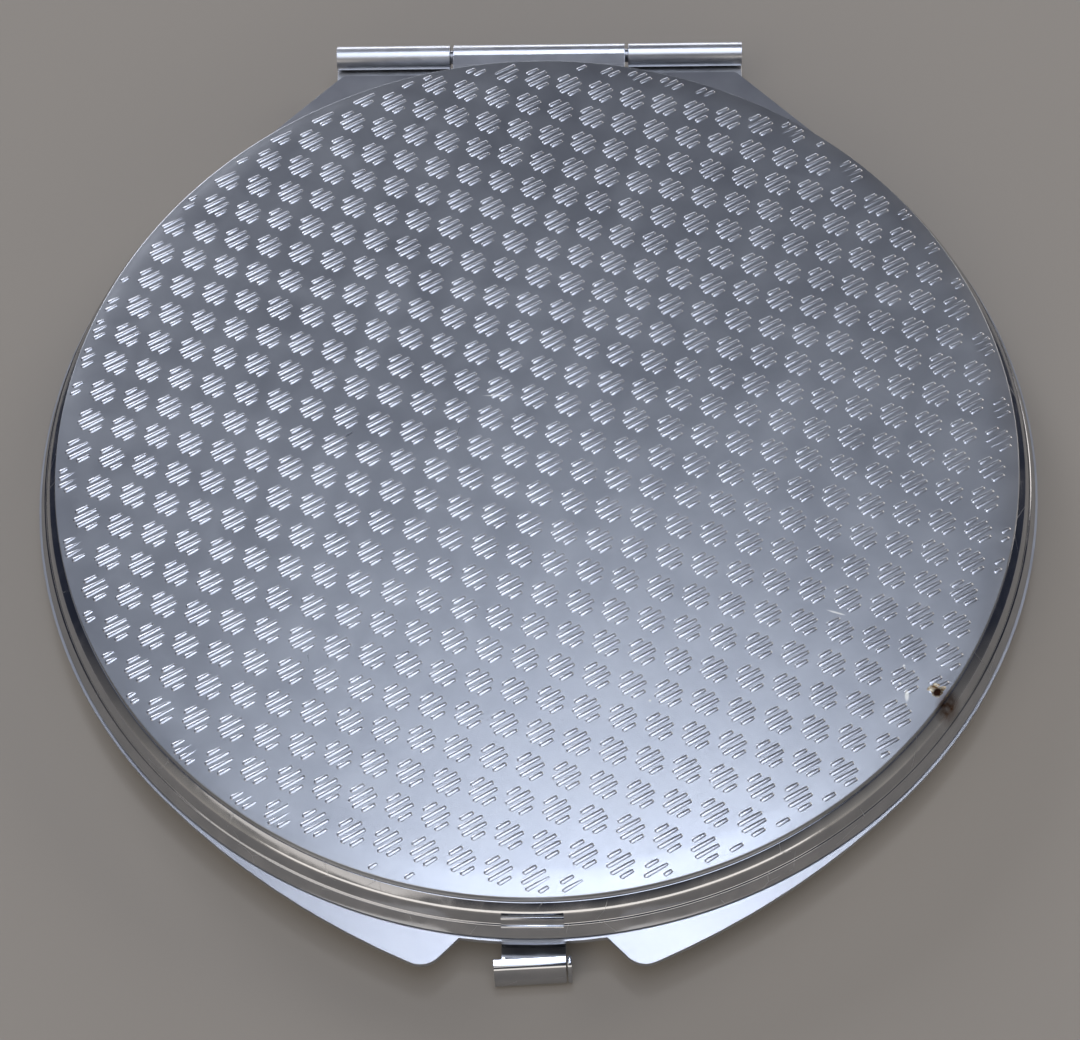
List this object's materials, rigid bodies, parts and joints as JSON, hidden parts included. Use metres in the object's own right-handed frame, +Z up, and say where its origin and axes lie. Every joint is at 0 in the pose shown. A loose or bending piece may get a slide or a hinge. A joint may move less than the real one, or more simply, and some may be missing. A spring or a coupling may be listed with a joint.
{
  "type": "compact mirror",
  "caption": "Round folding compact mirror with a satin patterned lid, polished stepped edge, rolled rear hinge, thumb wings and a sprung push-button latch.",
  "frame": {"origin": "centre of the flat resting face of the base, under the middle of the round body", "axes": "+Z up through the closed lid; +Y to the rear, towards the hinge; the button is at -Y; +X to the right of someone who faces the button"},
  "size_m": [0.07, 0.0743, 0.007],
  "materials": {
    "satin_steel": "satin, fine grain",
    "polished_chrome": "polished",
    "mirror_glass": "silvered glass",
    "foam_tape": "matte",
    "spring_steel": "plain"
  },
  "bodies": {
    "base": {"base_cover": "satin_steel", "base_frame": "polished_chrome", "base_pad": "foam_tape", "base_mirror": "mirror_glass", "base_bezel": "polished_chrome", "base_rim_plate": "satin_steel", "base_hinge_leaf": "polished_chrome", "hinge_pin": "spring_steel", "latch_guide": "spring_steel", "latch_spring": "spring_steel"},
    "lid": {"lid_cover": "satin_steel", "lid_frame": "polished_chrome", "lid_pad": "foam_tape", "lid_mirror": "mirror_glass", "lid_bezel": "polished_chrome", "lid_rim_plate": "satin_steel", "lid_hinge_leaf": "polished_chrome", "catch_plate": "polished_chrome"},
    "latch": {"latch_slide": "polished_chrome", "latch_button": "polished_chrome"}
  },
  "joints": [
    {"name": "lid_hinge", "type": "hinge", "parent": "base", "child": "lid", "pos_m": [0, 0.0364, 0.00352], "axis": [-1, 0, 0], "range_deg": [0, 180]},
    {"name": "button_slide", "type": "slide", "parent": "base", "child": "latch", "axis": [0, 1, 0], "range_m": [0, 0.001], "stiffness_N_per_m": 1000, "springref_m": -0.001, "deforming": ["latch_spring"]}
  ]
}
